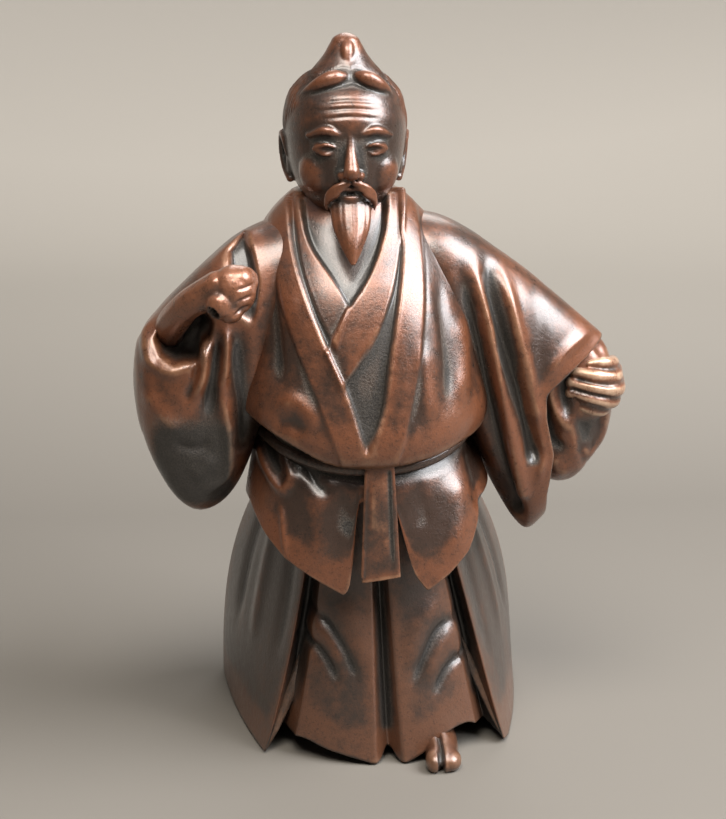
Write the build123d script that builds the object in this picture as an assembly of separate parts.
from build123d import *
import os
from collections import namedtuple
from math import cos, pi, sin

# A standing figure of an old man in a wide-sleeved coat and a stiff pleated skirt, cast in bronze
# in sections. It faces -Y, its own left is +X, and it stands on the plane z = 0. Sizes are in millimetres.

# Casting and joint sizes shared by every section
WALL = 3.0
SIDE_WALL = 1.3 * WALL
PLUG_GAP = 0.2
SEAT_GAP = 0.15
SPIGOT_GAP = 0.6
SLEEVE_SEAT = 0.5
SASH_SEAT = 0.5
PIN_GAP = 0.05
REACH = 200.0
FROM_BASE = (Align.CENTER, Align.CENTER, Align.MIN)

# Pleated skirt, with its values at the hem and at the waist
SKIRT_TOP = 108.0
DECK = 4.0
SPIGOT_TOP = 130.0
SKIRT_LEVELS = 5
HEM_FRONT_CORNER = (45.5, -30.0)
WAIST_FRONT_CORNER = (20.0, -22.0)
HEM_BACK_CORNER = (59.5, 50.0)
WAIST_BACK_CORNER = (27.0, 20.0)
HEM_RIDGES = (0.0, 10.0, -43.0)
WAIST_RIDGES = (-2.0, 2.5, -31.0)
HEM_GROOVE = (9.0, 7.5)
WAIST_GROOVE = (3.0, 2.5)
CENTRE_GROOVE = 4.5
GROOVE_LIP = 3.5
GROOVE_BOTTOM = 0.55
BACK_PLEAT = (20.0, 6.0, 5.0)
HEM_SWAY = 4.5
PANEL_BULGE = 2.0
SIDE_BULGE = 2.5
BACK_BULGE = 3.0
FRONT_POWER = 0.85
BACK_POWER = 2.6

# Lifted stretches of the front hem, as points in x and z
HEM_ARCHES = (
    ((-41.0, 0.0), (-36.0, 6.5), (-30.0, 7.5), (-19.0, 4.5), (-7.0, 1.5), (-1.5, 0.0)),
    ((1.5, 0.0), (5.0, 4.0), (8.5, 0.0)),
    ((11.5, 0.0), (20.0, 4.0), (29.0, 9.5), (38.0, 11.0), (46.0, 5.0), (52.0, 0.0)),
)
ARCH_BACK_Y = -14.0

# Shelf inside the skirt and the feet that plug into it, each foot placed by its middle
SHELF_Z = 34.0
SHELF_THICKNESS = 4.0
SHELF_BACK_Y = 14.0
LEFT_FOOT = (24.0, -30.0)
RIGHT_FOOT = (-17.0, -4.0)
FOOT_RADII = (7.0, 22.5, 8.0)
FOOT_RAISE = 3.0
TOE_SPLIT = (0.9, 11.0, 2.2)
POST_RADIUS = 4.5
POST_SETBACK = 10.0
POST_RISE = 6.0
FOOT_PIN_RADIUS = 1.0
FOOT_PIN_OVERHANG = 3.0

# Coat, ring by ring: height, sideways lean, half width, front, back, sag of the front and squareness
Ring = namedtuple("Ring", "z lean half_width front back sag squareness")
COAT_RINGS = (
    Ring(60.0, 0.0, 50.0, 50.0, 51.0, 0.0, 3.0),
    Ring(82.0, 0.0, 48.5, 49.0, 49.0, 2.0, 3.0),
    Ring(104.0, -1.0, 44.0, 46.0, 42.0, 5.0, 2.7),
    Ring(114.0, -2.0, 40.5, 45.0, 36.5, 7.0, 2.5),
    Ring(121.5, -2.0, 37.6, 42.6, 32.0, 8.0, 2.4),
    Ring(129.0, -2.5, 42.0, 48.0, 35.0, 8.0, 2.4),
    Ring(140.0, -3.0, 43.8, 49.8, 36.0, 6.0, 2.4),
    Ring(158.0, -4.0, 42.0, 46.5, 34.5, 2.0, 2.4),
    Ring(176.0, -5.5, 38.5, 38.5, 31.0, 0.0, 2.3),
    Ring(190.0, -6.5, 33.0, 28.0, 27.0, 0.0, 2.2),
    Ring(200.0, -7.5, 25.0, 21.0, 22.5, 0.0, 2.1),
    Ring(206.0, -7.5, 18.5, 17.0, 18.5, 0.0, 2.0),
)
RING_POINTS = 36
COAT_LEVELS = 20
COAT_WALL = 5.0
COAT_CAVITY_TOP = 184.0

# Hem of the coat's tail, its front and side slits, and the crossed collars, as points in x and z
RIGHT_TAIL_HEM = ((-60.0, 87.0), (-46.0, 84.0), (-30.0, 77.5), (-10.0, 68.0))
LEFT_TAIL_HEM = ((16.5, 67.5), (30.0, 71.0), (46.0, 78.0), (60.0, 82.0))
FRONT_SLIT = ((-7.0, 74.0), (-5.5, 108.0), (6.0, 108.0), (9.5, 76.0))
BELOW_HEM = 20.0
BACK_HEM_Z = 86.0
SIDE_SLIT = (28.0, -14.0, 112.0)
OPENING_RIGHT = (
    (-28.5, 208.0), (-27.7, 187.0), (-23.2, 171.0), (-16.8, 155.0), (-11.7, 143.5), (-4.8, 121.0),
)
OPENING_LEFT = (
    (10.3, 208.0), (9.5, 184.0), (6.5, 167.0), (3.6, 151.5), (1.2, 136.0), (-4.8, 121.0),
)
SEAM_RIGHT = ((-36.5, 208.0), (-33.5, 174.0), (-28.5, 157.0), (-23.0, 143.0), (-13.0, 117.0))
SEAM_LEFT = ((16.5, 208.0), (17.6, 186.0), (16.6, 168.0), (12.5, 141.0), (6.0, 117.0))
THROAT_RIGHT = ((-25.5, 208.0), (-22.4, 191.0), (-14.8, 180.0), (-9.6, 171.0))
THROAT_LEFT = ((6.5, 208.0), (4.0, 194.0), (-1.3, 182.5), (-9.6, 171.0))
OVER_COLLAR_INNER = ((6.5, 208.0), (4.0, 194.0), (-1.3, 182.5), (-9.6, 171.0), (-18.0, 156.0))
OVER_COLLAR_OUTER = ((12.5, 208.0), (9.5, 190.0), (4.5, 173.0), (-1.0, 161.0), (-13.0, 144.0))
COLLAR_RAISE = 1.0
OVER_COLLAR_SINK = 0.3
ROBE_SINK = 1.3
THROAT_SINK = 3.0

# Sash over the joint of coat and skirt, its hanging tail, and the pins it hides
SASH_LEVEL = 8
SASH_RADII = (1.5, 2.4)
SASH_TAIL = ((-5.0, 115.5), (5.6, 115.0), (7.4, 74.5), (-6.2, 76.5))
SASH_TAIL_THICKNESS = 2.4
SASH_TAIL_DRIFT = 3.6
WAIST_PIN_RADIUS = 1.25
WAIST_PIN_LENGTH = 9.0
WAIST_PIN_SINK = 0.4
PIN_HOLE_OVERRUN = 0.2

# Sleeves in slices across X: place, middle in y, top, bottom and half depth
Slice = namedtuple("Slice", "x y top bottom half_depth")
RIGHT_SLEEVE = (
    Slice(-27.0, -4.0, 198.5, 150.0, 22.0),
    Slice(-38.0, -6.0, 195.0, 124.0, 25.0),
    Slice(-48.0, -9.0, 190.0, 100.0, 26.0),
    Slice(-57.0, -12.0, 183.0, 91.0, 25.0),
    Slice(-66.0, -14.0, 175.0, 91.5, 23.0),
    Slice(-75.0, -15.0, 166.0, 103.0, 19.0),
    Slice(-81.5, -15.0, 157.0, 120.0, 13.0),
    Slice(-84.0, -15.0, 150.0, 130.0, 6.0),
)
LEFT_SLEEVE = (
    Slice(24.0, -3.0, 198.0, 150.0, 22.0),
    Slice(36.0, -4.0, 192.0, 118.0, 24.0),
    Slice(47.0, -5.0, 184.5, 93.0, 24.0),
    Slice(57.0, -6.0, 177.0, 79.0, 22.5),
    Slice(66.0, -7.0, 169.5, 84.0, 20.0),
    Slice(76.0, -8.0, 160.5, 105.0, 15.0),
    Slice(85.0, -9.0, 152.0, 138.0, 7.0),
)
UNDER_SLEEVE = (
    Slice(54.0, -6.0, 148.0, 108.0, 10.0),
    Slice(66.0, -7.0, 150.0, 98.0, 13.0),
    Slice(76.0, -8.0, 149.0, 98.5, 14.0),
    Slice(84.0, -9.0, 144.0, 108.0, 11.5),
    Slice(88.5, -9.0, 138.0, 118.0, 6.0),
)
SLICE_POINTS = 28
SLICE_LEVELS = 12
SLICE_SQUARENESS = 2.3
CUFF_EDGE = ((86.5, 153.0), (62.5, 134.0), (66.0, 112.0), (64.0, 94.0), (70.0, 60.0))
CUFF_OUTER_X = 120.0
ARMHOLE = (-3.5, 172.0)
ARM_PLUG_RADIUS = 12.8
ARM_PLUG_BORE = 8.5
ARM_PLUG_ROOT = 46.0
RIGHT_PLUG_END = -29.0
LEFT_PLUG_END = 18.0
ARM_PIN_SETBACK = 3.5
ARM_PIN_RADIUS = 1.5
ARM_PIN_OVERHANG = 1.5
SLEEVE_WALL = 4.0
SLEEVE_SOLID_ROOT = 52.0
MOUTH_CENTRE = (-69.0, -38.0, 150.0)
MOUTH_RADII = (11.0, 24.0, 16.0)

# Hands, each a fist closed round a grip axis, with a wrist that plugs into the arm
FINGER_RADIUS = 2.6
FINGER_PITCH = 4.1
FINGERS = 4
GRIP_RADIUS = 1.9
GRIP_WALL = 0.1
BACK_OF_HAND = ((2.5, 1.5, 0.0), (7.0, 6.8, 9.2))
THUMB_RADIUS = 2.3
THUMB_ROOT = (4.0, -5.5, 3.0)
THUMB_TIP = (-5.0, -5.0, 4.5)
WRIST_START = 2.0
WRIST_RADIUS = 4.8
WRIST_LENGTH = 9.0
WRIST_PLUG_RADIUS = 3.2
WRIST_PLUG_LENGTH = 8.0
SOCKET_RELIEF = 0.5
HAND_ROOM = 30.0
ARM_RADIUS = 5.6
WRIST_PIN_RADIUS = 0.7
WRIST_PIN_SINK = 0.4
ARM_START = 5.0
RIGHT_FIST = Vector(-49.5, -46.0, 177.5)
RIGHT_GRIP = Vector(-0.62, -0.58, -0.53)
RIGHT_ARM_END = Vector(-70.5, -8.5, 159.0)
LEFT_FIST = Vector(85.0, -13.0, 132.5)
LEFT_GRIP = Vector(0.25, -0.25, 0.93)
LEFT_ARM_END = Vector(66.0, -6.0, 128.0)

# Head about its own upright axis, with a neck that plugs into the coat
HEAD_X = -8.0
HEAD_RINGS = (
    Ring(197.0, 0.0, 12.0, 15.0, 9.0, 0.0, 2.0),
    Ring(203.0, 0.0, 14.5, 23.5, 11.5, 0.0, 2.1),
    Ring(209.0, 0.0, 18.0, 27.5, 16.0, 0.0, 2.2),
    Ring(216.0, 0.0, 20.0, 28.5, 20.0, 0.0, 2.2),
    Ring(225.0, 0.0, 21.3, 28.0, 22.5, 0.0, 2.2),
    Ring(234.0, 0.0, 21.0, 26.5, 22.5, 0.0, 2.1),
    Ring(242.0, 0.0, 17.5, 21.0, 18.5, 0.0, 2.0),
    Ring(247.0, 0.0, 11.0, 12.5, 12.0, 0.0, 2.0),
    Ring(249.5, 0.0, 4.0, 4.0, 4.0, 0.0, 2.0),
)
HEAD_LEVELS = 12
NECK_PLUG_RADIUS = 9.0
NECK_PLUG_BOTTOM = 186.0
NECK_PLUG_Y = -1.0
NECK_RELIEF = 10.0
NECK_PIN_RADIUS = 1.3
NECK_PIN_Z = 191.0
NECK_PIN_START = 40.0
NECK_PIN_END = NECK_PLUG_Y - 6.0
HAIR_RAISE = 0.9
HAIRLINE_Z = 233.0
FIGURE_HEIGHT = 260.0
TOPKNOT_Y = -5.0
TOPKNOT_SIDE = ((0.0, 0.0), (3.2, -1.2), (5.2, -4.5), (7.6, -9.0), (12.0, -13.5), (16.5, -17.5))
NOSE = (3.6, 1.3, 13.0)
NOSE_MIDDLE = Vector(HEAD_X, -29.0, 218.0)
NOSE_LEAN = -8.0
LIP = ((HEAD_X, -27.6, 205.8), (4.4, 1.8, 1.3))
NECK_TOP = 205.0
HAIR_FRONT_Y = -14.0
HAIR_SLOPE = -32.0
TOPKNOT_FOOT = 5.0

# Features on both sides of the head, by their distance out from its middle, their y and their z
TUFT = ((8.5, -18.5, 243.5), (8.0, 3.2, 3.4), 25.0)
EAR = ((19.6, 0.0, 215.5), (2.2, 4.5, 8.0), 20.0)
BROW = ((4.0, -27.6, 225.0), (12.5, -24.8, 225.5), 1.5)
EYE = ((8.0, -26.2, 220.2), (4.2, 2.4, 2.2))
MOUSTACHE = ((2.0, -29.0, 209.3), (9.0, -26.2, 204.8), 1.4)
BEARD_ROOT = Vector(HEAD_X, -24.5, 204.0)
BEARD_TIP = Vector(HEAD_X, -36.5, 184.5)
BEARD_RADII = (6.5, 1.0)


def mix(start, end, share):
    """The value a share of the way from start to end."""
    return start + (end - start) * share


def mix_point(start, end, share):
    """The point a share of the way from start to end."""
    return tuple(mix(a, b, share) for a, b in zip(start, end))


def even_sections(sections, count):
    """Evenly spaced sections on a smooth curve through the given ones, so that a loft stays true."""
    last = len(sections) - 1
    places = [abs(section[0] - sections[0][0]) for section in sections]

    def slope(index, field):
        before, after = max(index - 1, 0), min(index + 1, last)
        rise = sections[after][field] - sections[before][field]
        return rise / (places[after] - places[before])

    spaced = []
    for step in range(count):
        place = places[-1] * step / (count - 1)
        low = max(index for index in range(last) if places[index] <= place + 0.001)
        span = places[low + 1] - places[low]
        t = (place - places[low]) / span
        values = [
            mix(sections[low][field], sections[low + 1][field], t * t * (3 - 2 * t))
            + span * t * (1 - t) * ((1 - t) * slope(low, field) - t * slope(low + 1, field))
            for field in range(1, len(sections[low]))
        ]
        start, end = sections[0][0], sections[-1][0]
        spaced.append(type(sections[0])(mix(start, end, step / (count - 1)), *values))
    return spaced


def rounded(angle, squareness):
    """Cosine and sine of an angle, drawn out towards a rounded square as the squareness rises above 2."""
    power = 2 / squareness
    across, along = cos(angle), sin(angle)
    signs = (1 if across > 0 else -1), (1 if along > 0 else -1)
    return abs(across) ** power * signs[0], abs(along) ** power * signs[1]


def closed_spline(points):
    """A smooth closed wire, evenly parametrised so that the sections of one form loft cleanly."""
    count = len(points)
    edge = Edge.make_spline(points, periodic=True, parameters=[i / count for i in range(count + 1)])
    return Wire([edge])


def ring_points(ring, inset=0.0, centre_x=0.0):
    """Points round one ring taken in by the inset. The front of a sagging ring hangs lower."""
    points = []
    for step in range(RING_POINTS):
        across, along = rounded(-pi / 2 + 2 * pi * step / RING_POINTS, ring.squareness)
        reach = (ring.front if along < 0 else ring.back) - inset
        drop = ring.sag * max(0.0, -along) ** 2.5
        x = centre_x + ring.lean + (ring.half_width - inset) * across
        points.append((x, reach * along, ring.z - drop))
    return points


def ring_form(rings, levels, inset=0.0, centre_x=0.0):
    """A solid lofted through rings, all taken in by the inset."""
    spaced = even_sections(rings, levels)
    return Solid.make_loft([closed_spline(ring_points(ring, inset, centre_x)) for ring in spaced])


def coat_form(inset=0.0):
    """The coat's outer form, taken in by the inset."""
    return ring_form(COAT_RINGS, COAT_LEVELS, inset)


def head_form(inset=0.0):
    """The head's plain form, taken in by the inset."""
    return ring_form(HEAD_RINGS, HEAD_LEVELS, inset, HEAD_X)


def slice_form(slices, inset=0.0):
    """A solid lofted through upright slices across X, all taken in by the inset."""
    wires = []
    for part in even_sections(slices, SLICE_LEVELS):
        middle, half_height = (part.top + part.bottom) / 2, (part.top - part.bottom) / 2
        points = []
        for step in range(SLICE_POINTS):
            across, along = rounded(2 * pi * step / SLICE_POINTS, SLICE_SQUARENESS)
            y = part.y + (part.half_depth - inset) * across
            points.append((part.x, y, middle + (half_height - inset) * along))
        wires.append(closed_spline(points))
    return Solid.make_loft(wires)


def prism(curves, start_y=0.0, amount=REACH):
    """A prism that runs forward from start_y and whose outline is drawn in x and z."""
    face = make_face([Plane.XZ * curve for curve in curves])
    return Pos(0, start_y, 0) * extrude(face, amount=amount, dir=(0, -1, 0))


def between(first, second):
    """A closed outline between two smooth curves that run the same way."""
    curves = [Spline(*first), Spline(*second)]
    for end in (0, 1):
        start, finish = (curve @ end for curve in curves[:2])
        if (finish - start).length > 0.01:
            curves.append(Line(start, finish))
    return curves


def block(low, high):
    """A box between two corners."""
    size = [b - a for a, b in zip(low, high)]
    return Pos(*low) * Box(*size, align=Align.MIN)


def ellipsoid(centre, radii):
    """A ball stretched to three radii."""
    return Pos(*centre) * scale(Sphere(1), by=radii)


def rod(start, end, radius):
    """A round rod from one point to another."""
    span = end - start
    return Plane(origin=start, z_dir=span) * Cylinder(radius, span.length, align=FROM_BASE)


def capsule(start, end, radius):
    """A round rod with round ends."""
    return rod(start, end, radius) + Pos(*start) * Sphere(radius) + Pos(*end) * Sphere(radius)


def skirt_shares(z):
    """How far the front and the back of the skirt have drawn in from hem to waist at one height."""
    return (z / SKIRT_TOP) ** FRONT_POWER, (z / SKIRT_TOP) ** BACK_POWER


def skirt_outline(z):
    """The pleated outline of the skirt at one height, as a wire of lines and arcs."""
    front, back = skirt_shares(z)
    corner_x, corner_y = mix_point(HEM_FRONT_CORNER, WAIST_FRONT_CORNER, front)
    back_x, back_y = mix_point(HEM_BACK_CORNER, WAIST_BACK_CORNER, back)
    right_ridge, left_ridge, ridge_y = mix_point(HEM_RIDGES, WAIST_RIDGES, front)
    groove_width, groove_depth = mix_point(HEM_GROOVE, WAIST_GROOVE, front)
    sway, fade = mix(HEM_SWAY, 0.0, back), mix(1.0, 0.5, back)
    pleat_x, pleat_width, pleat_depth = (value * fade for value in BACK_PLEAT)
    # From the front panel's groove to the back pleat; each point has the bulge of the edge that leaves it
    side = [
        (corner_x - groove_width, corner_y - GROOVE_LIP * fade, 0),
        (corner_x - groove_width * GROOVE_BOTTOM, corner_y + groove_depth, 0),
        (corner_x, corner_y, SIDE_BULGE),
        (back_x, back_y, BACK_BULGE / 2),
        (pleat_x + pleat_width, back_y + BACK_BULGE, 0),
        (pleat_x, back_y + BACK_BULGE - pleat_depth, 0),
        (pleat_x - pleat_width, back_y + BACK_BULGE, BACK_BULGE / 3),
    ]
    bulges = [bulge for _, _, bulge in side]
    mirrored = [(-x, y) for x, y, _ in reversed(side)]
    points = [
        ((right_ridge + left_ridge) / 2, ridge_y + CENTRE_GROOVE * fade, 0),
        (left_ridge, ridge_y, PANEL_BULGE),
    ]
    points += [(sway + x, y, bulge) for x, y, bulge in side]
    mirrored_bulges = bulges[-2::-1] + [PANEL_BULGE]
    points += [(sway + x, y, bulge) for (x, y), bulge in zip(mirrored, mirrored_bulges)]
    points += [(right_ridge, ridge_y, 0)]
    edges = []
    for (ax, ay, bulge), (bx, by, _) in zip(points, points[1:] + points[:1]):
        if bulge:
            run = ((bx - ax) ** 2 + (by - ay) ** 2) ** 0.5
            middle_x = (ax + bx) / 2 + bulge * (by - ay) / run
            middle_y = (ay + by) / 2 - bulge * (bx - ax) / run
            edges.append(Edge.make_three_point_arc((ax, ay, z), (middle_x, middle_y, z), (bx, by, z)))
        else:
            edges.append(Edge.make_line((ax, ay, z), (bx, by, z)))
    return Wire(edges)


def skirt_core_outline(z):
    """The plain core outline at one height, which leaves the wall inside every groove."""
    front, back = skirt_shares(z)
    corner_x, corner_y = mix_point(HEM_FRONT_CORNER, WAIST_FRONT_CORNER, front)
    back_x, back_y = mix_point(HEM_BACK_CORNER, WAIST_BACK_CORNER, back)
    ridge_y = mix_point(HEM_RIDGES, WAIST_RIDGES, front)[2]
    groove_width, groove_depth = mix_point(HEM_GROOVE, WAIST_GROOVE, front)
    sway, fade = mix(HEM_SWAY, 0.0, back), mix(1.0, 0.5, back)
    front_y = max(ridge_y + CENTRE_GROOVE * fade, corner_y - GROOVE_LIP * fade) + WALL
    rear_y = back_y + BACK_BULGE - BACK_PLEAT[2] * fade - WALL
    half = [
        (corner_x - groove_width - WALL, front_y),
        (corner_x - WALL, corner_y + groove_depth + WALL),
        (back_x - SIDE_WALL, rear_y),
    ]
    points = [(sway + x, y) for x, y in half] + [(sway - x, y) for x, y in reversed(half)]
    return Wire([Edge.make_line((*a, z), (*b, z)) for a, b in zip(points, points[1:] + points[:1])])


def skirt_loft(outline, top):
    """A solid through the skirt's outlines from the hem to the given height."""
    return Solid.make_loft([outline(top * level / (SKIRT_LEVELS - 1)) for level in range(SKIRT_LEVELS)])


def foot_form(middle, grow=0.0):
    """A foot in a split-toed sock, flat under the sole, grown all round for its clearance."""
    x, y = middle
    radii = tuple(radius + grow for radius in FOOT_RADII)
    return ellipsoid((x, y, FOOT_RAISE), radii) - block((-REACH, -REACH, -REACH), (REACH, REACH, 0))


def post(middle, radius, top):
    """The upright post of a foot."""
    x, y = middle
    return rod(Vector(x, y + POST_SETBACK, FOOT_RAISE), Vector(x, y + POST_SETBACK, top), radius)


def make_foot(middle, inner_side):
    """A foot with its post and the hole for its pin. Returns the foot and the pin."""
    x, y = middle
    width, length, offset = TOE_SPLIT
    toe_y = y - FOOT_RADII[1]
    split_x = x + inner_side * offset
    split = block((split_x - width / 2, toe_y - 1, -1), (split_x + width / 2, toe_y + length, SHELF_Z))
    top = SHELF_Z + SHELF_THICKNESS + POST_RISE
    pin_z = SHELF_Z + SHELF_THICKNESS + FOOT_PIN_RADIUS + SEAT_GAP
    pin_y = y + POST_SETBACK
    reach = POST_RADIUS + FOOT_PIN_OVERHANG
    ends = Vector(x - reach, pin_y, pin_z), Vector(x + reach, pin_y, pin_z)
    foot = foot_form(middle) - split + post(middle, POST_RADIUS, top) - rod(*ends, FOOT_PIN_RADIUS + PIN_GAP)
    return foot, rod(*ends, FOOT_PIN_RADIUS)


def make_skirt():
    """Hollow skirt with its pleats, lifted hem, foot shelf and the spigot that enters the coat."""
    core = skirt_loft(skirt_core_outline, SKIRT_TOP)
    shelf = block((-REACH, -REACH, SHELF_Z), (REACH, SHELF_BACK_Y, SHELF_Z + SHELF_THICKNESS))
    deck = block((-REACH, -REACH, SKIRT_TOP - DECK), (REACH, REACH, REACH))
    skirt = skirt_loft(skirt_outline, SKIRT_TOP) - (core - shelf - deck)
    for foot in (LEFT_FOOT, RIGHT_FOOT):
        skirt -= post(foot, POST_RADIUS + PLUG_GAP, SKIRT_TOP - DECK)
        skirt -= foot_form(foot, 2 * SEAT_GAP)
    for points in HEM_ARCHES:
        skirt -= prism([Spline(*points), Line(points[-1], points[0])], ARCH_BACK_Y)
    spigot = coat_form(COAT_WALL + SPIGOT_GAP)
    collar = spigot & block((-REACH, -REACH, SKIRT_TOP - DECK), (REACH, REACH, SPIGOT_TOP))
    hollow = coat_form(COAT_WALL + SPIGOT_GAP + WALL)
    hollow &= block((-REACH, -REACH, SKIRT_TOP), (REACH, REACH, REACH))
    return skirt + (collar - hollow)


def make_coat():
    """Hollow coat with its tail, slits and crossed collars, returned with the collars' raised form."""
    opening = prism(between(OPENING_RIGHT, OPENING_LEFT))
    throat = prism(between(THROAT_RIGHT, THROAT_LEFT))
    over_collar = prism(between(OVER_COLLAR_INNER, OVER_COLLAR_OUTER)) & opening
    raised = prism(between(SEAM_RIGHT, SEAM_LEFT)) & coat_form(-COLLAR_RAISE)
    coat = coat_form() + raised - (opening - coat_form(ROBE_SINK))
    coat += over_collar & coat_form(OVER_COLLAR_SINK)
    coat -= throat - coat_form(THROAT_SINK)
    coat -= coat_form(COAT_WALL) & block((-REACH, -REACH, 0), (REACH, REACH, COAT_CAVITY_TOP))
    path = (RIGHT_TAIL_HEM[-1],) + FRONT_SLIT + (LEFT_TAIL_HEM[0],)
    (left_end, _), (right_end, _) = LEFT_TAIL_HEM[-1], RIGHT_TAIL_HEM[0]
    low = Polyline(LEFT_TAIL_HEM[-1], (left_end, BELOW_HEM), (right_end, BELOW_HEM), RIGHT_TAIL_HEM[0])
    coat -= prism([Spline(*RIGHT_TAIL_HEM), Polyline(*path), Spline(*LEFT_TAIL_HEM), low])
    coat -= block((-REACH, 0, 0), (REACH, REACH, BACK_HEM_Z))
    slit_x, slit_y, slit_top = SIDE_SLIT
    for low_x, high_x in ((-REACH, -slit_x), (slit_x, REACH)):
        coat -= block((low_x, slit_y, 0), (high_x, REACH, slit_top))
    return coat, raised


def waist_ring():
    """The coat's ring under the sash."""
    return even_sections(COAT_RINGS, COAT_LEVELS)[SASH_LEVEL]


def waist_pins():
    """Three pins that hold the coat on the skirt's spigot, under the sash, as (outer end, inner end)."""
    ring = waist_ring()
    right = Vector(ring.lean - ring.half_width + WAIST_PIN_SINK, 0, ring.z)
    left = Vector(ring.lean + ring.half_width - WAIST_PIN_SINK, 0, ring.z)
    back = Vector(ring.lean, ring.back - WAIST_PIN_SINK, ring.z)
    inward, forward = Vector(WAIST_PIN_LENGTH, 0, 0), Vector(0, WAIST_PIN_LENGTH, 0)
    return (right, right + inward), (left, left - inward), (back, back - forward)


def make_sash():
    """The sash, lofted from front to back round one side of the waist and mirrored to the other."""
    thickness, height = SASH_RADII
    points = [Vector(*point) for point in ring_points(waist_ring(), -thickness - SASH_SEAT)]
    back = RING_POINTS // 2
    wires = []
    for step in range(back + 1):
        along = points[step + 1] - points[step - 1]
        if step in (0, back):
            along = Vector(along.X, 0, 0)
        section = Plane(origin=points[step], x_dir=(0, 0, 1), z_dir=along) * Ellipse(height, thickness)
        wires.append(section.face().outer_wire())
    half = Solid.make_loft(wires)
    return half.fuse(mirror(half, Plane.YZ.offset(waist_ring().lean)))


def make_sash_tail():
    """The sash's hanging tail, a tapering tongue that follows the belly's slope."""
    top_left, top_right, foot_right, foot_left = SASH_TAIL
    top_y = -waist_ring().front - 2 * SASH_RADII[0] - SASH_SEAT - SEAT_GAP
    wires = []
    ends = (top_left, top_right, top_y), (foot_left, foot_right, top_y - SASH_TAIL_DRIFT)
    for (ax, az), (bx, bz), y in ends:
        front_y = y - SASH_TAIL_THICKNESS
        corners = [(ax, y, az), (bx, y, bz), (bx, front_y, bz), (ax, front_y, az)]
        wires.append(Wire([Edge.make_line(a, b) for a, b in zip(corners, corners[1:] + corners[:1])]))
    return Solid.make_loft(wires, ruled=True)


def arm_frame(centre, grip, arm_end):
    """A frame at a fist's centre: Z along the grip and X square to it, towards the arm."""
    grip = grip.normalized()
    towards = arm_end - centre
    return Plane(origin=centre, x_dir=towards - grip * towards.dot(grip), z_dir=grip)


def make_fist(frame, bored):
    """A closed fist in its own frame, with wrist and plug, and a bore for a staff if asked for."""
    ring = GRIP_RADIUS + FINGER_RADIUS + GRIP_WALL
    span = FINGERS * FINGER_PITCH
    (root_x, root_y, root_down), (tip_x, tip_y, tip_down) = THUMB_ROOT, THUMB_TIP
    root, tip = Vector(root_x, root_y, span / 2 - root_down), Vector(tip_x, tip_y, span / 2 - tip_down)
    wrist, end = Vector(WRIST_START, 0, 0), Vector(WRIST_START + WRIST_LENGTH, 0, 0)
    fist = Cylinder(ring, span - FINGER_PITCH)
    for finger in range(FINGERS):
        fist += Pos(0, 0, (finger - (FINGERS - 1) / 2) * FINGER_PITCH) * Torus(ring, FINGER_RADIUS)
    fist += ellipsoid(*BACK_OF_HAND)
    fist += capsule(root, tip, THUMB_RADIUS)
    fist += rod(wrist, end, WRIST_RADIUS)
    fist += rod(wrist, end + Vector(WRIST_PLUG_LENGTH, 0, 0), WRIST_PLUG_RADIUS)
    if bored:
        fist -= Cylinder(GRIP_RADIUS, 3 * span)
    return frame * (fist - wrist_pin(PIN_GAP))


def wrist_socket():
    """The hole in an arm that takes a wrist's plug, in the fist's own frame."""
    start = WRIST_START + WRIST_LENGTH
    room = rod(Vector(start - HAND_ROOM, 0, 0), Vector(start + SEAT_GAP, 0, 0), 3 * WRIST_RADIUS)
    bottom = Vector(start + WRIST_PLUG_LENGTH + SOCKET_RELIEF, 0, 0)
    return room + rod(Vector(start - 1, 0, 0), bottom, WRIST_PLUG_RADIUS + PLUG_GAP)


def wrist_pin(grow=0.0):
    """The pin across a wrist's plug, in the fist's own frame."""
    x = WRIST_START + WRIST_LENGTH + WRIST_PLUG_LENGTH / 2
    reach = ARM_RADIUS - WRIST_PIN_SINK
    return rod(Vector(x, 0, -reach), Vector(x, 0, reach), WRIST_PIN_RADIUS + grow)


def arm_plug(side, end):
    """A sleeve's round plug with its core passage, from the sleeve's root through the armhole."""
    y, z = ARMHOLE
    ends = Vector(side * ARM_PLUG_ROOT, y, z), Vector(end, y, z)
    passage = Vector(side * (ARM_PLUG_ROOT - SLEEVE_WALL), y, z)
    return rod(*ends, ARM_PLUG_RADIUS) - rod(passage, ends[1], ARM_PLUG_BORE)


def armhole(side, end):
    """The hole in the coat that takes a sleeve's plug."""
    y, z = ARMHOLE
    return rod(Vector(side * ARM_PLUG_ROOT, y, z), Vector(end, y, z), ARM_PLUG_RADIUS + PLUG_GAP)


def arm_pin(side, end, grow=0.0):
    """The pin across a sleeve's plug inside the coat."""
    y, z = ARMHOLE
    x = end + side * ARM_PIN_SETBACK
    reach = ARM_PLUG_RADIUS + ARM_PIN_OVERHANG
    return rod(Vector(x, y - reach, z), Vector(x, y + reach, z), ARM_PIN_RADIUS + grow)


def sleeve_seats():
    """What a sleeve is cut back from: the coat, and the sash round its waist."""
    ring, (thickness, height) = waist_ring(), SASH_RADII
    low, high = ring.z - ring.sag - height, ring.z + height + SLEEVE_SEAT
    zone = block((-REACH, -REACH, low), (REACH, REACH, high))
    return coat_form(-SLEEVE_SEAT), coat_form(-2 * thickness - SASH_SEAT - SLEEVE_SEAT) & zone


def make_sleeve(slices, side, plug_end, seats):
    """A hollow sleeve seated on the coat, with its plug."""
    inner = slice_form(slices, SLEEVE_WALL)
    far = REACH if side > 0 else -SLEEVE_SOLID_ROOT
    near = SLEEVE_SOLID_ROOT if side > 0 else -REACH
    inner &= block((near, -REACH, 0), (far, REACH, 2 * REACH))
    sleeve = slice_form(slices)
    for seat in seats:
        sleeve -= seat
    return sleeve - inner + arm_plug(side, plug_end) - arm_pin(side, plug_end, PIN_GAP)


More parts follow.
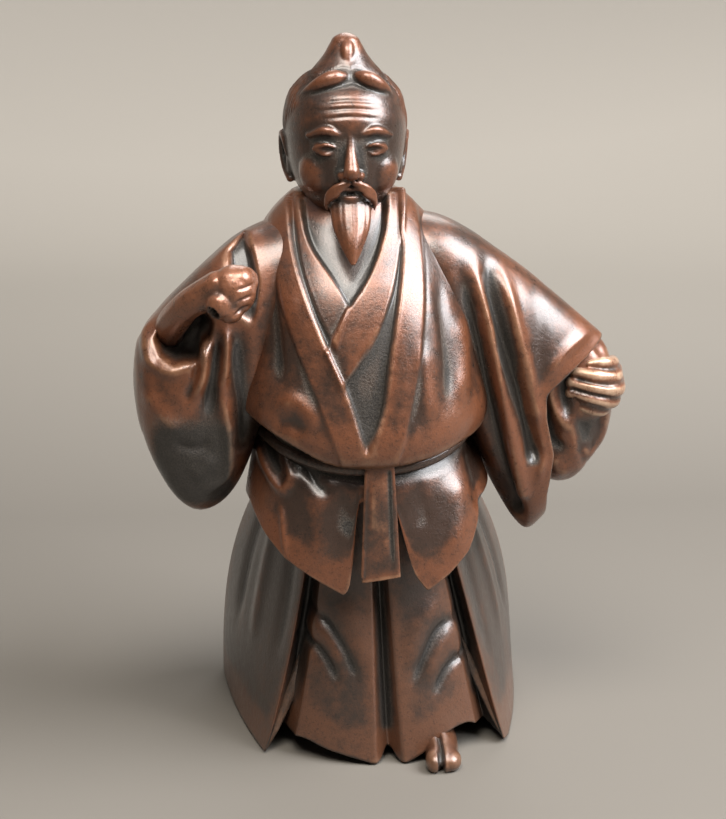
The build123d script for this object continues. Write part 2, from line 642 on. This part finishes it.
def head_side(mirror):
    """The features of one side of the head: tuft, ear, brow, eye and half the moustache."""
    def place(spot):
        out, y, z = spot
        return Vector(HEAD_X + mirror * out, y, z)

    middle, radii, turn = TUFT
    forms = [Pos(*place(middle)) * Rot(Y=mirror * turn) * ellipsoid((0, 0, 0), radii)]
    middle, radii, turn = EAR
    forms.append(Pos(*place(middle)) * Rot(Z=mirror * turn) * ellipsoid((0, 0, 0), radii))
    forms.append(ellipsoid(place(EYE[0]), EYE[1]))
    for start, end, radius in (BROW, MOUSTACHE):
        forms.append(capsule(place(start), place(end), radius))
    return forms


def make_head(coat_front):
    """The head with hair, topknot, ears, face and beard, and its neck plug."""
    head = head_form()
    above = block((-REACH, -REACH, 0), (REACH, REACH, REACH))
    head += head_form(-HAIR_RAISE) & (Pos(0, HAIR_FRONT_Y, HAIRLINE_Z) * Rot(X=HAIR_SLOPE) * above)
    side = Spline(*[(radius, FIGURE_HEIGHT + drop) for radius, drop in TOPKNOT_SIDE])
    foot_radius, foot_z = TOPKNOT_SIDE[-1][0], FIGURE_HEIGHT + TOPKNOT_SIDE[-1][1]
    base_z = foot_z - TOPKNOT_FOOT
    rest = Polyline((foot_radius, foot_z), (foot_radius, base_z), (0, base_z), (0, FIGURE_HEIGHT))
    knot = revolve(make_face([Plane.XZ * side, Plane.XZ * rest]), Axis.Z)
    head += Pos(HEAD_X, TOPKNOT_Y, 0) * knot
    for mirror in (-1, 1):
        head += head_side(mirror)
    head += Cone(*NOSE).moved(Pos(*NOSE_MIDDLE) * Rot(X=NOSE_LEAN))
    head += ellipsoid(*LIP)
    beard = Plane(origin=BEARD_ROOT, z_dir=BEARD_TIP - BEARD_ROOT) * Cone(
        *BEARD_RADII, (BEARD_TIP - BEARD_ROOT).length, align=FROM_BASE)
    head += beard - coat_front
    foot, top = Vector(HEAD_X, NECK_PLUG_Y, NECK_PLUG_BOTTOM), Vector(HEAD_X, NECK_PLUG_Y, NECK_TOP)
    return head + rod(foot, top, NECK_PLUG_RADIUS) - neck_pin(PIN_GAP)


def neck_socket():
    """The hole down through the coat's neck that takes the head's plug."""
    bottom = Vector(HEAD_X, NECK_PLUG_Y, NECK_PLUG_BOTTOM - NECK_RELIEF)
    return rod(bottom, Vector(HEAD_X, NECK_PLUG_Y, FIGURE_HEIGHT), NECK_PLUG_RADIUS + PLUG_GAP)


def neck_pin(grow=0.0):
    """The pin from the nape into the neck's plug."""
    outer, inner = Vector(HEAD_X, NECK_PIN_START, NECK_PIN_Z), Vector(HEAD_X, NECK_PIN_END, NECK_PIN_Z)
    return rod(outer, inner, NECK_PIN_RADIUS + grow)


nodes = {}

# Skirt and feet
nodes["left_foot"], nodes["left_foot_pin"] = make_foot(LEFT_FOOT, -1)
nodes["right_foot"], nodes["right_foot_pin"] = make_foot(RIGHT_FOOT, 1)
skirt = make_skirt()

# Coat with its sockets, and the head that sits in it
coat, collars = make_coat()
whole = coat_form()
coat -= head_form(-SEAT_GAP)
coat -= neck_socket()
coat -= neck_pin(PIN_GAP)
for side, end in ((-1, RIGHT_PLUG_END), (1, LEFT_PLUG_END)):
    coat -= armhole(side, end)
nodes["head_casting"] = make_head(coat_form(-COLLAR_RAISE - SEAT_GAP))
nodes["neck_pin"] = neck_pin() & whole

# Sash over the pins at the waist
pins = [rod(outer, inner, WAIST_PIN_RADIUS) for outer, inner in waist_pins()]
for outer, inner in waist_pins():
    hole = rod(outer + (outer - inner) * PIN_HOLE_OVERRUN, inner, WAIST_PIN_RADIUS + PIN_GAP)
    coat -= hole
    skirt -= hole
nodes["waist_pins"] = Compound(children=pins)
nodes["sash_band"] = make_sash()
nodes["sash_tail"] = make_sash_tail()
nodes["skirt_casting"] = skirt
nodes["coat_casting"] = coat

# Sleeves on the coat
right_sleeve = make_sleeve(RIGHT_SLEEVE, -1, RIGHT_PLUG_END, sleeve_seats()) - collars
left_sleeve = make_sleeve(LEFT_SLEEVE, 1, LEFT_PLUG_END, sleeve_seats())
nodes["right_arm_pin"] = arm_pin(-1, RIGHT_PLUG_END)
nodes["left_arm_pin"] = arm_pin(1, LEFT_PLUG_END)

# Right sleeve's mouth, forearm and bored fist
right_sleeve -= ellipsoid(MOUTH_CENTRE, MOUTH_RADII)
frame = arm_frame(RIGHT_FIST, RIGHT_GRIP, RIGHT_ARM_END)
arm_start, arm_length = Vector(ARM_START, 0, 0), (RIGHT_ARM_END - RIGHT_FIST).length
arm = frame * rod(arm_start, Vector(arm_length, 0, 0), ARM_RADIUS)
grown = frame * rod(arm_start, Vector(arm_length + SEAT_GAP, 0, 0), ARM_RADIUS + SEAT_GAP)
nodes["right_forearm"] = arm - frame * wrist_socket() - frame * wrist_pin(PIN_GAP)
nodes["right_hand"] = make_fist(frame, True)
nodes["right_wrist_pin"] = frame * wrist_pin()
nodes["right_sleeve_casting"] = right_sleeve - grown

# Left cuff, under-sleeve and closed fist
edge = Polyline(*CUFF_EDGE)
(_, cuff_top), (_, cuff_low) = CUFF_EDGE[0], CUFF_EDGE[-1]
outer = Polyline(CUFF_EDGE[-1], (CUFF_OUTER_X, cuff_low), (CUFF_OUTER_X, cuff_top), CUFF_EDGE[0])
cuff = prism([edge, outer], REACH / 2)
frame = arm_frame(LEFT_FIST, LEFT_GRIP, LEFT_ARM_END)
under = slice_form(UNDER_SLEEVE) - frame * wrist_socket() - frame * wrist_pin(PIN_GAP)
nodes["left_hand"] = make_fist(frame, False)
nodes["left_wrist_pin"] = frame * wrist_pin()
nodes["left_under_sleeve"] = under
nodes["left_sleeve_casting"] = left_sleeve - cuff - slice_form(UNDER_SLEEVE, -SEAT_GAP)

os.makedirs("parts", exist_ok=True)
for name, node in nodes.items():
    export_step(node, f"parts/{name}.step")
